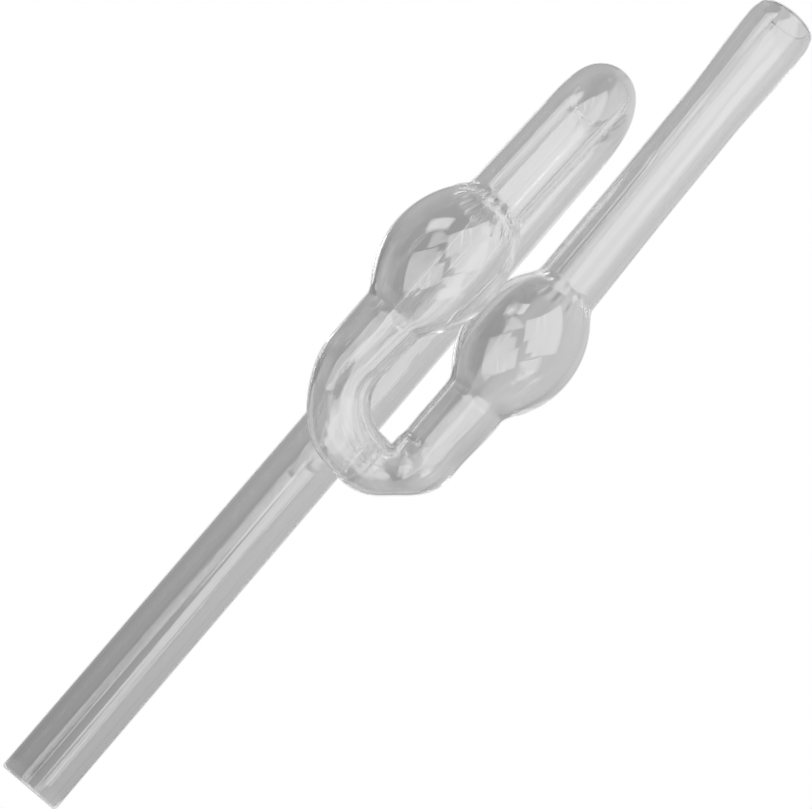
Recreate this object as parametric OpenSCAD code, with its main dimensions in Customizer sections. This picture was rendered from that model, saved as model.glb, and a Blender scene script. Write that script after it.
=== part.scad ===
// S-bend airlock: one run of clear glass tube, drawn, bent and blown into a stem, a crown
// bend, an inlet leg, two bulbs joined by a trap bend, and an outlet tube with a flared mouth.
// Millimetres. +Z runs up the stem and the origin is the centre of the stem's lower end.
// The two bulbs and the trap bend lie in one upright plane in front of the stem (-Y side).

/* [Tube] */
// Outside diameter of the stem, crown bend and inlet leg
tube_od = 10; // [9.6:0.1:10.4]
// Wall thickness of the whole run
wall = 1; // [0.8:0.1:1.2]

/* [Stem and crown] */
// Height at which the straight stem ends and the crown bend starts
stem_top = 125.4; // [120:0.2:132]

/* [Trap] */
// Distance from the stem's axis forward to the plane of the trap
trap_forward = 12.1; // [12:0.1:15]
// Height of the tube's centreline at the bottom of the trap bend
trap_bottom = 67; // [64:0.5:70]
// Sideways place of the bottom of the trap bend
trap_shift = 0.2; // [-0.5:0.1:1]
// Length of the short tapered stretch at the bottom of the trap bend
trap_flat = 1.6; // [1:0.1:2.4]
// Centreline radius of the bend under the first bulb
inlet_bend = 10.2; // [10:0.1:11]
// Centreline radius of the tighter bend under the second bulb
outlet_bend = 7.8; // [7.8:0.1:9]
// Outside diameter of the bend under the first bulb
inlet_bend_od = 9.6; // [9.2:0.1:9.6]
// Outside diameter of the drawn-down bend under the second bulb
outlet_bend_od = 8.4; // [8:0.1:9]
// Lean of the inlet leg towards the outlet, degrees from upright
inlet_lean = 2.2; // [0:0.1:2.4]
// Lean of the outlet leg towards the stem, degrees from upright
outlet_lean = 1; // [0:0.1:1.5]

/* [Bulbs] */
// Outside diameter of the first bulb, on the inlet leg
first_od = 18.4; // [17:0.1:18.4]
// Height of the first bulb from seal to seal
first_length = 21.6; // [20:0.2:22]
// Height of the first bulb's middle above the stem's lower end
first_middle = 96.6; // [95:0.2:98]
// Outside diameter of the second bulb, on the outlet leg
second_od = 18; // [17:0.1:18.2]
// Height of the second bulb from seal to seal
second_length = 20.4; // [20:0.2:22]
// Height of the second bulb's middle above the stem's lower end
second_middle = 96.2; // [95:0.2:98]

/* [Outlet] */
// Outside diameter of the outlet tube at its waist
waist_od = 9.6; // [9:0.1:10]
// Height at which the outlet tube has narrowed to its waist
waist_start = 128; // [118:1:132]
// Height at which the outlet starts to flare
flare_start = 142; // [136:1:146]
// Height at which the flare reaches the mouth's full width
flare_end = 156; // [150:1:157]
// Outside diameter of the mouth
mouth_od = 10.9; // [10.4:0.1:11.4]
// Height of the mouth's lip above the stem's lower end
outlet_top = 160.8; // [158:0.2:164]

/* [Hidden] */
$fn = 64;

tube_r = tube_od / 2;
// The trap bend: its two arc centres and the feet of the two legs, as x and z
inlet_hub = trap_shift - trap_flat / 2;
outlet_hub = trap_shift + trap_flat / 2;
inlet_foot_x = inlet_hub - inlet_bend * cos(inlet_lean);
inlet_foot_z = trap_bottom + inlet_bend * (1 + sin(inlet_lean));
outlet_foot_x = outlet_hub + outlet_bend * cos(outlet_lean);
outlet_foot_z = trap_bottom + outlet_bend * (1 + sin(outlet_lean));
// Distances up each leg from its foot
first_low = (first_middle - inlet_foot_z) / cos(inlet_lean) - first_length / 2;
first_high = first_low + first_length;
second_low = (second_middle - outlet_foot_z) / cos(outlet_lean) - second_length / 2;
second_high = second_low + second_length;
waist_low = (waist_start - outlet_foot_z) / cos(outlet_lean);
flare_low = (flare_start - outlet_foot_z) / cos(outlet_lean);
flare_high = (flare_end - outlet_foot_z) / cos(outlet_lean);
mouth_high = (outlet_top - outlet_foot_z) / cos(outlet_lean);
// The crown bend spans from the stem's top to the inlet leg's top
crown_x = inlet_foot_x + (stem_top - inlet_foot_z) * tan(inlet_lean);
crown_span = norm([crown_x, trap_forward]);
crown_turn = atan2(-trap_forward, crown_x);
glass = [0.80, 0.87, 0.88, 0.45];

module on_inlet() {
    translate([inlet_foot_x, -trap_forward, inlet_foot_z])
        rotate([0, inlet_lean, 0])
            children();
}

module on_outlet() {
    translate([outlet_foot_x, -trap_forward, outlet_foot_z])
        rotate([0, -outlet_lean, 0])
            children();
}

// Tube wall as a flat outline: each station is a height and the outside radius there
module tube_wall(stations) {
    outside = [for (s = stations) [s[1], s[0]]];
    inside = [for (i = [len(stations) - 1:-1:0]) [stations[i][1] - wall, stations[i][0]]];
    polygon(concat(outside, inside));
}

module tube(stations) {
    rotate_extrude()
        tube_wall(stations);
}

// Fully rounded lip of the wall, centred at the height given
module lip(height, r) {
    translate([r - wall / 2, height])
        circle(wall / 2);
}

// Quarter turn or more of bent tube in the XZ plane, from straight below the hub round
// towards +X and up
module bent_tube(bend_r, r, sweep) {
    rotate([90, 0, 0])
        rotate([0, 0, -90])
            rotate_extrude(angle = sweep)
                translate([bend_r, 0])
                    difference() {
                        circle(r);
                        circle(r - wall);
                    }
}

// Bulb wall as a flat outline from height 0 up, its side one arc from seal to seal
module bulb_wall(od, length, seal_r) {
    half = length / 2;
    rise = od / 2 - seal_r;
    side_r = (half * half + rise * rise) / (2 * rise);
    translate([0, half])
        difference() {
            intersection() {
                translate([od / 2 - side_r, 0])
                    circle(side_r);
                translate([0, -half])
                    square([od / 2, length]);
            }
            translate([od / 2 - side_r, 0])
                circle(side_r - wall);
            translate([-1, -half - 1])
                square([seal_r - wall + 1, length + 2]);
        }
}

// Blown bulb on the neck that rises to it from the trap bend
module necked_bulb(od, length, neck, foot_r) {
    translate([0, 0, neck])
        rotate_extrude() {
            tube_wall([[-neck, foot_r], [0, tube_r]]);
            bulb_wall(od, length, tube_r);
        }
}

module stem() {
    color(glass)
        rotate_extrude() {
            tube_wall([[wall / 2, tube_r], [stem_top, tube_r]]);
            lip(wall / 2, tube_r);
        }
}

module crown_bend() {
    color(glass)
        translate([0, 0, stem_top])
            rotate([0, 0, crown_turn])
                translate([crown_span / 2, 0, 0])
                    rotate([0, -90, 0])
                        bent_tube(crown_span / 2, tube_r, 180);
}

module inlet_leg() {
    color(glass)
        intersection() {
            on_inlet()
                tube([[first_high, tube_r], [first_high + stem_top, tube_r]]);
            translate([crown_x - 3 * tube_r, -trap_forward - 3 * tube_r, 0])
                cube([6 * tube_r, 6 * tube_r, stem_top]);
        }
}

module first_bulb() {
    color(glass)
        on_inlet()
            necked_bulb(first_od, first_length, first_low, inlet_bend_od / 2);
}

module trap_bend() {
    color(glass)
        union() {
            translate([inlet_hub, -trap_forward, trap_bottom + inlet_bend])
                mirror([1, 0, 0])
                    bent_tube(inlet_bend, inlet_bend_od / 2, 90 + inlet_lean);
            translate([inlet_hub, -trap_forward, trap_bottom])
                rotate([0, 90, 0])
                    tube([[0, inlet_bend_od / 2], [trap_flat, outlet_bend_od / 2]]);
            translate([outlet_hub, -trap_forward, trap_bottom + outlet_bend])
                bent_tube(outlet_bend, outlet_bend_od / 2, 90 + outlet_lean);
        }
}

module second_bulb() {
    color(glass)
        on_outlet()
            necked_bulb(second_od, second_length, second_low, outlet_bend_od / 2);
}

module outlet_tube() {
    color(glass)
        on_outlet()
            tube([[second_high, tube_r], [waist_low, waist_od / 2], [flare_low, waist_od / 2]]);
}

module outlet_mouth() {
    color(glass)
        on_outlet()
            rotate_extrude() {
                tube_wall([
                    [flare_low, waist_od / 2],
                    [flare_high, mouth_od / 2],
                    [mouth_high - wall / 2, mouth_od / 2]
                ]);
                lip(mouth_high - wall / 2, mouth_od / 2);
            }
}

stem();
crown_bend();
inlet_leg();
first_bulb();
trap_bend();
second_bulb();
outlet_tube();
outlet_mouth();
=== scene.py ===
"""Looks of the S-bend airlock: clear blown glass, built as one unbroken run of tube wall.

Lengths are in millimetres until the mesh is written, and then in metres, in the design's frame.
"""

import math

import bpy
import numpy as np
from mathutils import Matrix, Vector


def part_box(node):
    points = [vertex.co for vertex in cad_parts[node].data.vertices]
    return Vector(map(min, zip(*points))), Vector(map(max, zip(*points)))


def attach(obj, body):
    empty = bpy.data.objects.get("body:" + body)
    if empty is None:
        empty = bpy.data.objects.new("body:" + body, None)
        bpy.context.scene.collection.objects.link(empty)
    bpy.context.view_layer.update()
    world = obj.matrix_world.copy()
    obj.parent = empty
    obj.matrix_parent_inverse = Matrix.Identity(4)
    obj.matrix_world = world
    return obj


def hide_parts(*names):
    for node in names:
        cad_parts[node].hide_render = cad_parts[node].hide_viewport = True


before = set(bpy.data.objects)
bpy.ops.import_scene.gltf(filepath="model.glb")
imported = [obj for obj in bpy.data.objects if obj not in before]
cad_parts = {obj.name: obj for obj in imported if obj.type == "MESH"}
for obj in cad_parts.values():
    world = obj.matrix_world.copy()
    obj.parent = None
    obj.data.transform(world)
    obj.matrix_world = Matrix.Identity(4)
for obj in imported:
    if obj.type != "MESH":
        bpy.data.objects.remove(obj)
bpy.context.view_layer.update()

MM = 0.001
BODY = "root"
GLASS_SLOT = "clear_glass"

PIECES = ("stem", "crown_bend", "inlet_leg", "first_bulb", "trap_bend", "second_bulb",
          "outlet_tube", "outlet_mouth")

# ---- The run of tube, with the design's sizes ---------------------------------------------

STEM_LOW, STEM_HIGH = (np.array(corner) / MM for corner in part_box("stem"))
TUBE_R = (STEM_HIGH[0] - STEM_LOW[0]) / 2
STEM_TOP = STEM_HIGH[2]
WALL = 1.0
LEG_Y = -12.1
TRAP_LOW_Z = 67.0
INLET_HUB_X, INLET_BEND_R, INLET_BEND_TUBE_R = -0.6, 10.2, 4.8
OUTLET_HUB_X, OUTLET_BEND_R, OUTLET_BEND_TUBE_R = 1.0, 7.8, 4.2
INLET_LEAN = math.radians(2.2)
OUTLET_LEAN = math.radians(1.0)
FIRST_BULB = {"mid_z": 96.6, "r": 9.2, "length": 21.6}
SECOND_BULB = {"mid_z": 96.2, "r": 9.0, "length": 20.4}
WAIST_R, WAIST_START_Z, FLARE_START_Z = 4.8, 128.0, 142.0

# The mouth is a little slimmer and taller than the design's 5.45, 156 and 160.8.
MOUTH_R, FLARE_END_Z, MOUTH_TOP_Z = 5.3, 157.5, 162.0

# ---- Marks of hand work, which the design leaves out --------------------------------------

# How square the crown's two shoulders are: 2 would be round.
STEM_SHOULDER, LEG_SHOULDER = 2.8, 2.5

# How far the bore lies outward of the tube's middle in the bends, and how much thicker the
# trap bend's wall is.
CROWN_BORE_SHIFT, BEND_BORE_SHIFT = 0.1, 0.4
BEND_EXTRA_WALL = BEND_BORE_SHIFT / 4

# The trap bend's change of radius, the smoothing of its low point, and its flattened places,
# each at an angle round its own bend and as wide to either side as its span.
TRAP_EASE = 5.0
SOFTEN_REACH, SOFTEN_PASSES = 5.0, 30
INLET_CUT, INLET_CUT_AT, INLET_CUT_SPAN = 0.3, math.radians(35), math.radians(32)
OUTLET_CUT, OUTLET_CUT_AT, OUTLET_CUT_SPAN = 0.9, math.radians(42), math.radians(36)

# The outlet bend's fuller end, outside and inside of the bend, and the angles it grows between.
OUTLET_FULL_OUT, OUTLET_FULL_IN = 0.2, 1.05
OUTLET_FULL_START, OUTLET_FULL_END = math.radians(30), math.radians(70)

# How far up each neck the bend's own radius fades out, and its thicker wall.
FIRST_NECK_REACH, SECOND_NECK_REACH, EXTRA_WALL_REACH = 7, 9, 7

# Rounding of the corners where a bulb meets its tube, above and below.
TOP_FILLET, LOW_FILLET = 0.9, 1.0

# Seals, by how far they lie below the bulb's top end, their swell outside, and as shares of
# the swell the narrowing inside and the unevenness round the ring.
SEAL_WIDTH = 1.3
FIRST_SEAL = {"below": 1.1, "swell": 0.17, "inside": 0.6, "uneven": 1.5}
SECOND_SEAL = {"below": 0.4, "swell": 0.05, "inside": 1.0, "uneven": 1.4}

# How far the mouth's rim turns in, and over what height.
RIM_TURN_IN, RIM_REACH = 0.6, 2.8

# Waves round a ring: how many go round, and where each starts. DRAW_LINES is how high the
# waves of the draw lines stand inside the tube.
SEAL_WAVES_OUTSIDE = (7, 11, 17, 23), (0.4, 2.1, 4.0, 1.0)
SEAL_WAVES_INSIDE = (8, 13, 19, 22), (3.0, 0.9, 5.1, 2.4)
DRAW_WAVES = (3, 7, 11, 16), (1.2, 4.4, 0.3, 2.8)
DRAW_LINES = 0.02

# ---- How finely the run is drawn ----------------------------------------------------------

# Steps are along the run. The counts of rings on a lip and across the trap's low point
# include the two end rings, which their neighbours add.
SIDES = 144
LIP_RINGS = 29
CROSSING_RINGS = 5
STEM_STEP, LEG_STEP, MOUTH_STEP, BEND_STEP, BULB_STEP, FINE_STEP = 2.0, 1.0, 0.6, 0.4, 0.25, 0.15
MOUTH_FINE_REACH = 4
SAME_PLACE = 1e-9

# ---- Glass, camera and light --------------------------------------------------------------

GLASS_COLOUR, GLASS_ROUGHNESS, GLASS_IOR = (0.99, 0.99, 0.99, 1), 0.01, 1.47
LINE_SCALE, LINE_DETAIL, LINE_STRETCH, LINE_DEPTH = 4.0, 3.0, 5.0, 0.0008
RIPPLE_SCALE, RIPPLE_DETAIL, RIPPLE_DEPTH = 160.0, 2.0, 0.004

# The camera's place and turn, found by fitting the design's outline to the photograph's.
VIEW_TURN, VIEW_RISE, VIEW_ROLL = (math.radians(angle) for angle in (-26.025, 10.822, 40.424))
VIEW_DISTANCE, VIEW_ASIDE = 414.995, 5.625
LENS, SENSOR_WIDTH, CLIP_START = 124.5280788, 36.0, 0.01

# The airlock's own tilt in the picture, clockwise from upright.
PICTURE_TILT = math.radians(41.29)

# The grey that the glass bends into view. Each ramp is start, end, low, high. Length runs up
# the airlock, and aside runs across it towards its outlet side.
NEAR_LENGTH = (-0.24, 0.24, 0.27, 0.52)
NEAR_FURTHER_OUT = (0.03, 0.20, 0.0, 0.05)
NEAR_ASIDE = (-0.05, 0.06, -0.07, 0.10)
SHADE_ASIDE = (-0.04, -0.012, -0.09, 0.0)
SHADE_LENGTH = (-0.02, 0.03, 0.0, 1.0)
STRAIGHT_BEHIND = (0.80, 0.97, 0.0, 1.0)
ROUND_LENGTH = (-0.24, 0.24, 0.30, 0.52)
ROUND_ASIDE = (-0.3, 0.3, -0.07, 0.07)

# Soft panes of window light: name, angles right of and above the camera as seen from the
# bulbs, angles that it fills across and up, and radiance. Place and distance are in metres.
BULBS_MIDDLE = np.array([0.0, -0.012, 0.096])
WINDOW_DISTANCE = 1.0
PANES = (
    ("window_left", 16.5, 25, 19, 30, 3.8),
    ("window_corner", 21, 0.5, 10, 17, 3.8),
    ("window_main", 33, 12, 14, 56, 3.8),
    ("window_right", 55, 11.5, 30, 57, 3.8),
    ("window_low", 28, -30, 34, 22, 3.4),
    ("window_sill", 42, -52, 40, 10, 2.2),
    ("ceiling", -28, 61, 30, 15, 5.5),
)

# The floor's half size and height, in metres.
FLOOR_HALF, FLOOR_Z = 0.3, -0.0002
FLOOR_COLOUR, FLOOR_GLOW = (0.55, 0.55, 0.55, 1), 1.5
PURE_WHITE = (1, 1, 1, 1)

# The brightness of the white behind, which is shown as 1, and the curve of brightness against
# shown tone: its two ends first, and then the points between.
WHITE = 1.7
SHOULDER = [(0.0, 0.0), (WHITE, 1.0), (0.5, 0.5), (0.7, 0.64), (1.0, 0.73), (1.4, 0.80)]
CURVE_ENDS, COMBINED_CURVE = 2, 3

# Light goes back and forth many times inside the wall before it leaves.
BOUNCES = 400

# ---- The feet of the two legs, and which way they rise ------------------------------------

INLET_FOOT = np.array([
    INLET_HUB_X - INLET_BEND_R * math.cos(INLET_LEAN),
    LEG_Y,
    TRAP_LOW_Z + INLET_BEND_R * (1 + math.sin(INLET_LEAN)),
])
OUTLET_FOOT = np.array([
    OUTLET_HUB_X + OUTLET_BEND_R * math.cos(OUTLET_LEAN),
    LEG_Y,
    TRAP_LOW_Z + OUTLET_BEND_R * (1 + math.sin(OUTLET_LEAN)),
])
INLET_UP = np.array([math.sin(INLET_LEAN), 0.0, math.cos(INLET_LEAN)])
OUTLET_UP = np.array([-math.sin(OUTLET_LEAN), 0.0, math.cos(OUTLET_LEAN)])


def unit(vector):
    vector = np.array(vector, float)
    return vector / np.linalg.norm(vector)


def ease(low, high, value):
    """0 below low, 1 above high, and a smooth rise between."""
    t = min(max((value - low) / (high - low), 0.0), 1.0)
    return t * t * (3 - 2 * t)


def hump(middle, width, value):
    """1 at the middle, falling smoothly to 0 at width to either side."""
    return 1 - ease(0, width, abs(value - middle))


def soft_max(a, b, width):
    """The larger of a and b, with the corner between them rounded over width."""
    gap = abs(a - b)
    if gap >= width:
        return max(a, b)
    return max(a, b) + (width - gap) ** 2 / (4 * width)


def bulb_radius(bulb, up, tube_r, fillet):
    """Outside radius at a distance up from the bulb's middle, its side one arc."""
    half = bulb["length"] / 2
    rise = bulb["r"] - TUBE_R
    side_r = (half * half + rise * rise) / (2 * rise)
    side = bulb["r"] - side_r + math.sqrt(max(side_r * side_r - up * up, 0.0))
    return soft_max(side, tube_r, fillet)


class Station:
    """One ring of the run: where its middle is, which way the tube heads, its two radii, how
    far its bore lies off its middle, and how uneven a worked seal has left it."""

    def __init__(self, piece, middle, heading, outside, inside, bore=(0, 0, 0), uneven=0.0):
        self.piece = piece
        self.middle = np.array(middle, float)
        self.heading = unit(heading)
        self.outside = outside
        self.inside = inside
        self.bore = np.array(bore, float)
        self.uneven = uneven


def steps(start, end, size):
    """Values from start to end, about size apart, both ends kept."""
    count = max(2, int(round(abs(end - start) / size)) + 1)
    return np.linspace(start, end, count)


def stem_stations():
    return [Station("stem", (0, 0, z), (0, 0, 1), TUBE_R, TUBE_R - WALL)
            for z in steps(WALL / 2, STEM_TOP, STEM_STEP)]


def crown_stations(end):
    """Over from the stem's top to the inlet leg's top, a little squarer than half a circle."""
    start = np.array([0.0, 0.0, STEM_TOP])
    hub = (start + end) / 2
    out = (end - start) / 2
    radius = np.linalg.norm(out)
    up = np.array([0.0, 0.0, radius])
    turns = steps(0, math.pi, BEND_STEP / radius)
    middles = []
    for turn in turns:
        power = 2 / (STEM_SHOULDER if turn < math.pi / 2 else LEG_SHOULDER)
        across = math.copysign(abs(math.cos(turn)) ** power, math.cos(turn))
        above = abs(math.sin(turn)) ** power
        lean = math.tan(INLET_LEAN) * radius * above * ease(math.pi / 2, math.pi, turn)
        middles.append(hub - out * across + up * above + np.array([lean, 0.0, 0.0]))
    rings = []
    for number, turn in enumerate(turns):
        before, after = middles[max(number - 1, 0)], middles[min(number + 1, len(turns) - 1)]
        heading = after - before
        if number == 0:
            heading = up
        elif number == len(turns) - 1:
            heading = -INLET_UP
        bore = unit(middles[number] - hub) * CROWN_BORE_SHIFT * math.sin(turn) ** 2
        rings.append(Station("crown_bend", middles[number], heading, TUBE_R, TUBE_R - WALL, bore))
    return rings


def leg_stations(piece, foot, up, places, section):
    """Rings along a leg, at distances above its foot. section gives the outside and inside
    radii and the unevenness at a distance, and how far the ring lies off the leg's line."""
    heading = up * math.copysign(1, places[-1] - places[0])
    rings = []
    for along in places:
        outside, inside, uneven, aside = section(along)
        middle = foot + up * along + np.array([aside, 0.0, 0.0])
        rings.append(Station(piece, middle, heading, outside, inside, uneven=uneven))
    return rings


def soften_low_point(rings):
    """Eases the jump in bend at the trap's lowest point, where one bend's arc meets the other's."""
    middles = np.array([ring.middle for ring in rings])
    low_x = (INLET_HUB_X + OUTLET_HUB_X) / 2
    share = np.array([hump(low_x, SOFTEN_REACH, x) for x in middles[:, 0]])[1:-1, None]
    for _ in range(SOFTEN_PASSES):
        evened = (middles[:-2] + 2 * middles[1:-1] + middles[2:]) / 4
        middles[1:-1] += share * (evened - middles[1:-1])
    for number, ring in enumerate(rings[1:-1], 1):
        part = share[number - 1]
        ahead = unit(middles[number + 1] - middles[number - 1])
        ring.middle = middles[number]
        ring.heading = unit(ring.heading * (1 - part) + ahead * part)


def trap_stations():
    """Down round the wide inlet bend, across, and up round the outlet bend, which is kinked:
    cut short outside and full inside."""
    rings = []

    def low_radius(past):
        """The tube's radius, easing from one bend's to the other's past the lowest point."""
        share = ease(-TRAP_EASE, TRAP_EASE, past)
        return INLET_BEND_TUBE_R + (OUTLET_BEND_TUBE_R - INLET_BEND_TUBE_R) * share

    def add(x, z, dx, dz, outward, inward):
        """A ring whose wall reaches outward and inward of the bend's line."""
        off = (outward - inward) / 2
        out = np.array([dz, 0, -dx])
        outside = (outward + inward) / 2
        # The bore comes back to the tube's middle where the bend meets its upright necks.
        shift = BEND_BORE_SHIFT * min(1.0, 2 * abs(dx))
        rings.append(Station("trap_bend", np.array([x, LEG_Y, z]) + out * off, (dx, 0, dz),
                             outside, outside - WALL - BEND_EXTRA_WALL, out * shift))

    for turn in steps(-INLET_LEAN, math.pi / 2, BEND_STEP / INLET_BEND_R):
        r = low_radius(-(math.pi / 2 - turn) * INLET_BEND_R)
        outward = r - INLET_CUT * hump(INLET_CUT_AT, INLET_CUT_SPAN, turn)
        add(INLET_HUB_X - INLET_BEND_R * math.cos(turn),
            TRAP_LOW_Z + INLET_BEND_R * (1 - math.sin(turn)),
            math.sin(turn), -math.cos(turn), outward, r)
    for x in np.linspace(INLET_HUB_X, OUTLET_HUB_X, CROSSING_RINGS)[1:-1]:
        add(x, TRAP_LOW_Z, 1, 0, low_radius(x), low_radius(x))
    for turn in steps(0, math.pi / 2 + OUTLET_LEAN, BEND_STEP / OUTLET_BEND_R):
        r = low_radius(turn * OUTLET_BEND_R)
        full = ease(OUTLET_FULL_START, OUTLET_FULL_END, turn)
        outward = (r + OUTLET_FULL_OUT * full
                   - OUTLET_CUT * hump(OUTLET_CUT_AT, OUTLET_CUT_SPAN, turn))
        add(OUTLET_HUB_X + OUTLET_BEND_R * math.sin(turn),
            TRAP_LOW_Z + OUTLET_BEND_R * (1 - math.cos(turn)),
            math.cos(turn), math.sin(turn), outward, r + OUTLET_FULL_IN * full)
    soften_low_point(rings)
    return rings


def run_of_tube():
    """Every station from the stem's lower end round to the mouth."""
    first_mid = (FIRST_BULB["mid_z"] - INLET_FOOT[2]) / INLET_UP[2]
    first_high = first_mid + FIRST_BULB["length"] / 2
    inlet_top = (STEM_TOP - INLET_FOOT[2]) / INLET_UP[2]
    second_mid = (SECOND_BULB["mid_z"] - OUTLET_FOOT[2]) / OUTLET_UP[2]
    second_high = second_mid + SECOND_BULB["length"] / 2
    waist, flare, wide, top = (
        (z - OUTLET_FOOT[2]) / OUTLET_UP[2]
        for z in (WAIST_START_Z, FLARE_START_Z, FLARE_END_Z, MOUTH_TOP_Z))
    bead = WALL / 2

    def with_seal(plain, seal, high, along):
        """Outside and inside radii and unevenness, from the plain outside radius."""
        near = hump(high - seal["below"], SEAL_WIDTH, along)
        thick = BEND_EXTRA_WALL * (1 - ease(0, EXTRA_WALL_REACH, along))
        return (plain + seal["swell"] * near,
                plain - WALL - thick - seal["inside"] * seal["swell"] * near,
                seal["swell"] * seal["uneven"] * near)

    def first(along):
        """Outside and inside radii, unevenness and shift aside, up the inlet leg."""
        fade = ease(0, FIRST_NECK_REACH, along)
        neck = INLET_BEND_TUBE_R + (TUBE_R - INLET_BEND_TUBE_R) * fade
        fillet = TOP_FILLET if along > first_mid else LOW_FILLET
        plain = bulb_radius(FIRST_BULB, along - first_mid, neck, fillet)
        return (*with_seal(plain, FIRST_SEAL, first_high, along), 0.0)

    def second(along):
        """The same, up the outlet leg as far as the flare."""
        low_r = OUTLET_BEND_TUBE_R + (OUTLET_FULL_OUT + OUTLET_FULL_IN) / 2
        fade = ease(0, SECOND_NECK_REACH, along)
        neck = low_r + (TUBE_R - low_r) * fade
        if along > second_mid:
            neck = TUBE_R + (WAIST_R - TUBE_R) * ease(second_high, waist, along)
        fillet = TOP_FILLET if along > second_mid else LOW_FILLET
        plain = bulb_radius(SECOND_BULB, along - second_mid, neck, fillet)
        aside = (OUTLET_FULL_OUT - OUTLET_FULL_IN) / 2 * (1 - fade)
        return (*with_seal(plain, SECOND_SEAL, second_high, along), aside)

    def outlet(along):
        """The same, from the flare to the rim."""
        outside, _, uneven, aside = second(along)
        outside += (MOUTH_R - WAIST_R) * ease(flare, wide, along)
        outside -= RIM_TURN_IN * max(0.0, 1 - (top - along) / RIM_REACH) ** 2
        return outside, outside - WALL, uneven, aside

    def leg(piece, foot, up, section, *reaches):
        """Rings of one piece, from (start, end, step) to (start, end, step)."""
        places = np.concatenate([steps(*reach) for reach in reaches])
        keep = np.concatenate([[True], np.abs(np.diff(places)) > SAME_PLACE])
        return leg_stations(piece, foot, up, places[keep], section)

    seal_reach = 2 * SEAL_WIDTH
    sections = [
        stem_stations(),
        crown_stations(INLET_FOOT + INLET_UP * inlet_top),
        leg("inlet_leg", INLET_FOOT, INLET_UP, first,
            (inlet_top, first_high + seal_reach, LEG_STEP),
            (first_high + seal_reach, first_high, FINE_STEP)),
        leg("first_bulb", INLET_FOOT, INLET_UP, first,
            (first_high, first_high - seal_reach, FINE_STEP),
            (first_high - seal_reach, 0, BULB_STEP)),
        trap_stations(),
        leg("second_bulb", OUTLET_FOOT, OUTLET_UP, second,
            (0, second_high - seal_reach, BULB_STEP),
            (second_high - seal_reach, second_high, FINE_STEP)),
        leg("outlet_tube", OUTLET_FOOT, OUTLET_UP, second,
            (second_high, second_high + seal_reach, FINE_STEP),
            (second_high + seal_reach, flare, LEG_STEP)),
        leg("outlet_mouth", OUTLET_FOOT, OUTLET_UP, outlet,
            (flare, top - MOUTH_FINE_REACH, MOUTH_STEP),
            (top - MOUTH_FINE_REACH, top - bead, FINE_STEP)),
    ]
    # Each section starts on the ring that the one before it ends on, so that ring is kept once.
    return sections[0] + [station for section in sections[1:] for station in section[1:]]


def ring_frames(stations):
    """Two directions across each ring, carried along the run without twisting."""
    across = np.array([1.0, 0.0, 0.0])
    frames = []
    for station in stations:
        across = across - station.heading * np.dot(across, station.heading)
        across /= np.linalg.norm(across)
        frames.append((across.copy(), np.cross(station.heading, across)))
    return frames


def waves(angles, numbers, starts):
    """A sum of waves round a ring, between about -1 and 1."""
    return sum(np.cos(n * angles + s) for n, s in zip(numbers, starts)) / len(numbers)


def glass_surface(stations):
    """The whole skin of the wall as one closed grid of rings: outside, mouth's lip, inside and
    stem's lip. Returns the points and the number of the station that each ring belongs to."""
    frames = ring_frames(stations)
    angles = np.linspace(0, 2 * math.pi, SIDES, endpoint=False)
    cos, sin = np.cos(angles)[:, None], np.sin(angles)[:, None]
    seal_outside = waves(angles, *SEAL_WAVES_OUTSIDE)[:, None]
    seal_inside = waves(angles, *SEAL_WAVES_INSIDE)[:, None]
    draw = DRAW_LINES * waves(angles, *DRAW_WAVES)[:, None]
    rings, owners = [], []

    def add(number, radius, shift=0.0, inner=0.0):
        """A ring at a station. inner is 1 on the bore, 0 outside and between on a lip."""
        station, axes = stations[number], frames[number]
        middle = station.middle + station.heading * shift + station.bore * inner
        rough = station.uneven * (seal_outside * (1 - inner) + seal_inside * inner)
        radius = radius + rough + draw * inner
        rings.append(middle + radius * (cos * axes[0] + sin * axes[1]))
        owners.append(number)

    def add_lip(number, ends):
        """Half a round of rings over the wall's end: ends is 1 at the mouth, -1 at the stem."""
        station = stations[number]
        middle_r = (station.outside + station.inside) / 2
        half = (station.outside - station.inside) / 2
        for turn in np.linspace(0, math.pi, LIP_RINGS)[1:-1]:
            inner = (1 - ends * math.cos(turn)) / 2
            add(number, middle_r + ends * half * math.cos(turn),
                ends * half * math.sin(turn), inner)

    last = len(stations) - 1
    for number in range(last + 1):
        add(number, stations[number].outside)
    add_lip(last, 1)
    for number in range(last, -1, -1):
        add(number, stations[number].inside, inner=1.0)
    add_lip(0, -1)
    return np.array(rings), owners


def surface_normals(points):
    """Unit normals of the closed grid, out of the glass."""
    around = np.roll(points, -1, axis=1) - np.roll(points, 1, axis=1)
    ahead = np.roll(points, -1, axis=0) - points
    behind = points - np.roll(points, 1, axis=0)
    along = sum(part / np.linalg.norm(part, axis=2, keepdims=True) for part in (ahead, behind))
    normals = np.cross(around, along)
    return normals / np.linalg.norm(normals, axis=2, keepdims=True)


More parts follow.
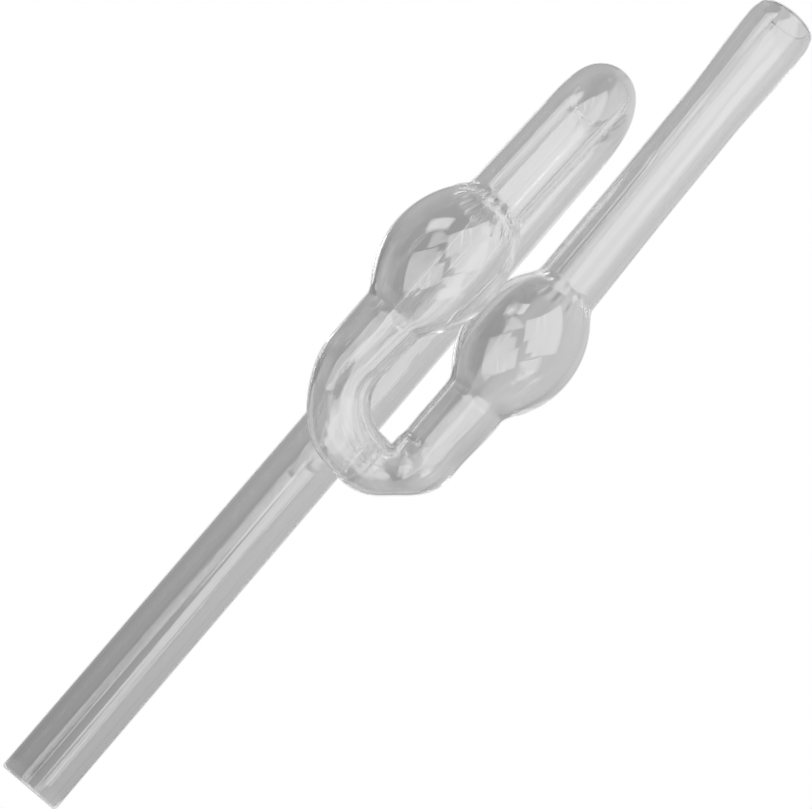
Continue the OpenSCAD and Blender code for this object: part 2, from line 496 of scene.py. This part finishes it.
def build_pieces(stations):
    """One mesh per section of the run. Neighbours share their end ring, point for point and
    normal for normal, so that the glass reads as one unbroken wall."""
    points, owners = glass_surface(stations)
    normals = surface_normals(points)
    count = len(points)
    runs = np.concatenate([[0], np.cumsum(np.linalg.norm(
        np.diff(points[:, 0], axis=0), axis=1))])
    built = {}
    for piece in PIECES:
        quads = []
        for ring in range(count):
            after = (ring + 1) % count
            if stations[max(owners[ring], owners[after])].piece == piece:
                quads.append((ring, after))
        used = sorted({ring for pair in quads for ring in pair})
        place = {ring: number * SIDES for number, ring in enumerate(used)}
        faces, uvs = [], []
        for ring, after in quads:
            low = runs[ring] * MM
            high = low + np.linalg.norm(points[after, 0] - points[ring, 0]) * MM
            for side in range(SIDES):
                step = (side + 1) % SIDES
                faces.append((place[ring] + side, place[ring] + step,
                              place[after] + step, place[after] + side))
                u, u_step = side / SIDES, (side + 1) / SIDES
                uvs += [(u, low), (u_step, low), (u_step, high), (u, high)]
        mesh = bpy.data.meshes.new(piece + "_glass")
        mesh.from_pydata((points[used].reshape(-1, 3) * MM).tolist(), [], faces)
        layer = mesh.uv_layers.new(name="run")
        layer.data.foreach_set("uv", np.array(uvs, np.float32).ravel())
        mesh.shade_smooth()
        mesh.normals_split_custom_set_from_vertices(normals[used].reshape(-1, 3).tolist())
        thing = bpy.data.objects.new(piece + "_glass", mesh)
        bpy.context.scene.collection.objects.link(thing)
        built[piece] = thing
    return built


# ---- Shader nodes and the glass ---------------------------------------------------------

class Sums:
    """Adds arithmetic nodes to a tree."""

    def __init__(self, tree):
        self.nodes, self.links = tree.nodes, tree.links

    def feed(self, socket, value):
        if isinstance(value, (int, float, tuple)):
            socket.default_value = value
        else:
            self.links.new(value, socket)

    def math(self, operation, first, second=0.0):
        node = self.nodes.new("ShaderNodeMath")
        node.operation = operation
        self.feed(node.inputs[0], first)
        self.feed(node.inputs[1], second)
        return node.outputs["Value"]

    def vector(self, x, y, z):
        node = self.nodes.new("ShaderNodeCombineXYZ")
        for socket, value in zip(node.inputs, (x, y, z)):
            self.feed(socket, value)
        return node.outputs["Vector"]

    def noise(self, place, scale, detail):
        node = self.nodes.new("ShaderNodeTexNoise")
        self.feed(node.inputs["Vector"], place)
        node.inputs["Scale"].default_value = scale
        node.inputs["Detail"].default_value = detail
        return node.outputs["Fac"]

    def bump(self, height, depth, normal=None):
        node = self.nodes.new("ShaderNodeBump")
        node.inputs["Distance"].default_value = depth
        self.feed(node.inputs["Height"], height)
        if normal is not None:
            self.feed(node.inputs["Normal"], normal)
        return node.outputs["Normal"]

    def along(self, vector, axis):
        """How far a vector goes along an axis."""
        node = self.nodes.new("ShaderNodeVectorMath")
        node.operation = "DOT_PRODUCT"
        self.feed(node.inputs[0], vector)
        node.inputs[1].default_value = axis
        return node.outputs["Value"]

    def ramp(self, value, start, end, low, high):
        """low below start, high above end, and a smooth change between."""
        node = self.nodes.new("ShaderNodeMapRange")
        node.interpolation_type = "SMOOTHSTEP"
        self.feed(node.inputs["Value"], value)
        for socket, number in (("From Min", start), ("From Max", end),
                               ("To Min", low), ("To Max", high)):
            node.inputs[socket].default_value = number
        return node.outputs["Result"]


def glass_material():
    """Clear glass with the faint draw lines and ripple of hand-worked tube."""
    material = bpy.data.materials.new(GLASS_SLOT)
    material.use_nodes = True
    nodes, links = material.node_tree.nodes, material.node_tree.links
    glass = nodes["Principled BSDF"]
    glass.inputs["Base Color"].default_value = GLASS_COLOUR
    glass.inputs["Roughness"].default_value = GLASS_ROUGHNESS
    glass.inputs["IOR"].default_value = GLASS_IOR
    glass.inputs["Transmission Weight"].default_value = 1.0
    sums = Sums(material.node_tree)

    # The way round is turned into a circle, so that the lines meet where the map's ends do.
    place = nodes.new("ShaderNodeTexCoord")
    split = nodes.new("ShaderNodeSeparateXYZ")
    links.new(place.outputs["UV"], split.inputs["Vector"])
    around = sums.math("MULTIPLY", split.outputs["X"], 2 * math.pi)
    lines = sums.noise(sums.vector(sums.math("COSINE", around), sums.math("SINE", around),
                                   sums.math("MULTIPLY", split.outputs["Y"], LINE_STRETCH)),
                       LINE_SCALE, LINE_DETAIL)
    ripple = sums.noise(place.outputs["Object"], RIPPLE_SCALE, RIPPLE_DETAIL)
    lines_bump = sums.bump(lines, LINE_DEPTH * MM)
    glass_bump = sums.bump(ripple, RIPPLE_DEPTH * MM, lines_bump)
    links.new(glass_bump, glass.inputs["Normal"])
    return material


# ---- Stage, light and camera ------------------------------------------------------------

def view_axes():
    """Right, up and forward of the camera before it is rolled, and forward kept level."""
    right = np.array([math.cos(VIEW_TURN), math.sin(VIEW_TURN), 0.0])
    level = np.array([-math.sin(VIEW_TURN), math.cos(VIEW_TURN), 0.0])
    up_axis = np.array([0.0, 0.0, 1.0])
    forward = level * math.cos(VIEW_RISE) + up_axis * math.sin(VIEW_RISE)
    up = up_axis * math.cos(VIEW_RISE) - level * math.sin(VIEW_RISE)
    return right, up, forward, level


def rolled_axes():
    """Right, up and back of the picture."""
    right, up, forward, _ = view_axes()
    c, s = math.cos(VIEW_ROLL), math.sin(VIEW_ROLL)
    return right * c + up * s, up * c - right * s, -forward


def matrix_from(axes, place):
    """A matrix that points x, y and z along the three axes, at a place in metres."""
    columns = [list(axis) for axis in axes]
    rows = [[columns[c][r] for c in range(3)] + [place[r]] for r in range(3)]
    return Matrix(rows + [[0, 0, 0, 1]])


def add_camera():
    right, _, _, level = view_axes()
    data = bpy.data.cameras.new("camera")
    data.sensor_width = SENSOR_WIDTH
    data.lens = LENS
    data.clip_start = CLIP_START
    camera = bpy.data.objects.new("camera", data)
    place = (right * VIEW_ASIDE - level * VIEW_DISTANCE) * MM
    camera.matrix_world = matrix_from(rolled_axes(), place)
    bpy.context.scene.collection.objects.link(camera)
    bpy.context.scene.camera = camera


def add_pane(name, turn, rise, wide, high, radiance):
    """A soft pane of window light, placed by its angles right of and above the camera as seen
    from the bulbs, and turned to face them. wide and high are the angles that it fills."""
    right, up, back = rolled_axes()
    turn, rise = math.radians(turn), math.radians(rise)
    towards = unit(right * math.sin(turn) * math.cos(rise) + up * math.sin(rise)
                   + back * math.cos(turn) * math.cos(rise))
    side = unit(np.cross(up, towards))
    width, height = (2 * WINDOW_DISTANCE * math.tan(math.radians(size) / 2)
                     for size in (wide, high))
    data = bpy.data.lights.new(name, "AREA")
    data.shape = "RECTANGLE"
    data.size, data.size_y = width, height
    data.energy = radiance * math.pi * width * height
    light = bpy.data.objects.new(name, data)
    light.matrix_world = matrix_from((side, np.cross(towards, side), towards),
                                     BULBS_MIDDLE + towards * WINDOW_DISTANCE)
    light.visible_camera = False
    bpy.context.scene.collection.objects.link(light)


def set_world():
    """White for the eye. For what the glass bends, a grey studio: lighter towards the airlock's
    mouth and its outlet side, most steeply so straight behind it, and with a shade over its
    upper inlet side."""
    right, up, back = rolled_axes()
    across = tuple(right * math.cos(PICTURE_TILT) - up * math.sin(PICTURE_TILT))
    length = tuple(right * math.sin(PICTURE_TILT) + up * math.cos(PICTURE_TILT))
    world = bpy.data.worlds.new("studio")
    bpy.context.scene.world = world
    world.use_nodes = True
    sums = Sums(world.node_tree)
    nodes, links = world.node_tree.nodes, world.node_tree.links
    direction = nodes.new("ShaderNodeTexCoord").outputs["Generated"]
    aside = sums.along(direction, across)
    ahead = sums.along(direction, length)
    behind = sums.ramp(sums.along(direction, tuple(-back)), *STRAIGHT_BEHIND)

    near = sums.ramp(ahead, *NEAR_LENGTH)
    near = sums.math("ADD", near, sums.ramp(sums.math("ABSOLUTE", aside), *NEAR_FURTHER_OUT))
    near = sums.math("ADD", near, sums.ramp(aside, *NEAR_ASIDE))
    shade = sums.math("MULTIPLY", sums.ramp(aside, *SHADE_ASIDE), sums.ramp(ahead, *SHADE_LENGTH))
    near = sums.math("ADD", near, shade)
    round_about = sums.ramp(ahead, *ROUND_LENGTH)
    round_about = sums.math("ADD", round_about, sums.ramp(aside, *ROUND_ASIDE))
    tone = sums.math("MULTIPLY", sums.math("SUBTRACT", near, round_about), behind)
    tone = sums.math("ADD", tone, round_about)

    bent = nodes.new("ShaderNodeBackground")
    links.new(tone, bent.inputs["Color"])
    seen = nodes["Background"]
    seen.inputs["Color"].default_value = PURE_WHITE
    seen.inputs["Strength"].default_value = WHITE
    path = nodes.new("ShaderNodeLightPath")
    mix = nodes.new("ShaderNodeMixShader")
    links.new(path.outputs["Is Camera Ray"], mix.inputs["Fac"])
    links.new(bent.outputs["Background"], mix.inputs[1])
    links.new(seen.outputs["Background"], mix.inputs[2])
    links.new(mix.outputs["Shader"], nodes["World Output"].inputs["Surface"])


def add_floor():
    """A pale floor, bright enough to the eye to run into the white around it."""
    points = [(x * FLOOR_HALF, y * FLOOR_HALF, FLOOR_Z) for x, y in
              ((-1, -1), (1, -1), (1, 1), (-1, 1))]
    mesh = bpy.data.meshes.new("floor")
    mesh.from_pydata(points, [], [(0, 1, 2, 3)])
    floor = bpy.data.objects.new("floor", mesh)
    bpy.context.scene.collection.objects.link(floor)
    material = bpy.data.materials.new("pale_floor")
    material.use_nodes = True
    nodes, links = material.node_tree.nodes, material.node_tree.links
    paint = nodes["Principled BSDF"]
    paint.inputs["Base Color"].default_value = FLOOR_COLOUR
    paint.inputs["Roughness"].default_value = 1.0
    paint.inputs["Specular IOR Level"].default_value = 0.0
    paint.inputs["Emission Color"].default_value = PURE_WHITE
    path = nodes.new("ShaderNodeLightPath")
    sums = Sums(material.node_tree)
    links.new(sums.math("MULTIPLY", path.outputs["Is Camera Ray"], FLOOR_GLOW),
              paint.inputs["Emission Strength"])
    mesh.materials.append(material)


add_camera()
set_world()
add_floor()
for pane in PANES:
    add_pane(*pane)

stations = run_of_tube()
glass = glass_material()
for name, piece in build_pieces(stations).items():
    piece.data.materials.append(glass)
    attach(piece, BODY)
    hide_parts(name)

scene = bpy.context.scene
scene.view_settings.view_transform = "Standard"
# A soft shoulder, as a camera's own: highlights on the glass stay below the white behind it.
scene.view_settings.use_curve_mapping = True
mapping = scene.view_settings.curve_mapping
mapping.clip_max_x = WHITE
curve = mapping.curves[COMBINED_CURVE]
for number, (bright, shown) in enumerate(SHOULDER):
    if number < CURVE_ENDS:
        curve.points[number].location = (bright, shown)
    else:
        curve.points.new(bright, shown)
mapping.update()
scene.cycles.max_bounces = BOUNCES
scene.cycles.transmission_bounces = BOUNCES
scene.cycles.glossy_bounces = BOUNCES
